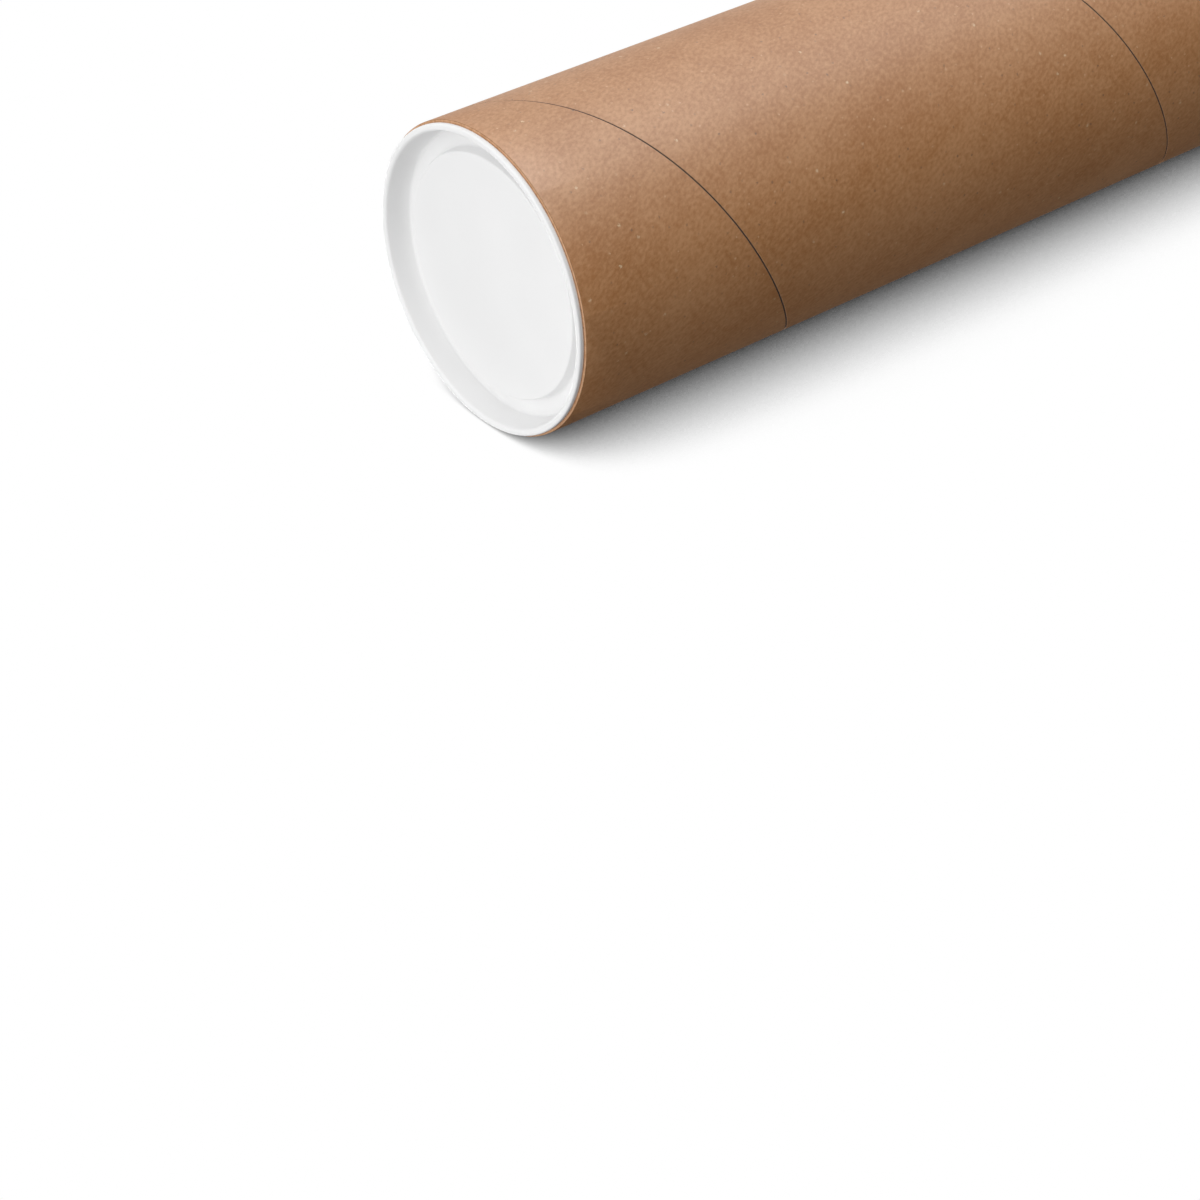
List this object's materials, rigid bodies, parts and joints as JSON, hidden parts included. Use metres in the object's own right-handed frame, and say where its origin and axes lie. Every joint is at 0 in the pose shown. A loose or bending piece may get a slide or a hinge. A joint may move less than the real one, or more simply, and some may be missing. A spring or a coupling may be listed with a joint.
{
  "type": "cardboard mailing tube",
  "caption": "Round spirally wound kraft cardboard mailing tube with a white recessed push-in cap in each end.",
  "frame": {"origin": "centre of the bottom cap's face, which the tube stands on", "axes": "+Z along the tube's axis, from the bottom cap to the top cap; -Y is the side that faces up when the tube lies as pictured"},
  "size_m": [0.0796, 0.0796, 0.6126],
  "materials": {
    "kraft_board": "matte",
    "white_cap": "satin"
  },
  "bodies": {
    "tube": {"tube": "kraft_board"},
    "top_cap": {"top_cap": "white_cap"},
    "bottom_cap": {"bottom_cap": "white_cap"}
  },
  "joints": [
    {"name": "top_cap_pull", "type": "slide", "parent": "tube", "child": "top_cap", "axis": [0, 0, 1], "range_m": [0, 0.05]},
    {"name": "bottom_cap_pull", "type": "slide", "parent": "tube", "child": "bottom_cap", "axis": [0, 0, -1], "range_m": [0, 0.05]}
  ]
}
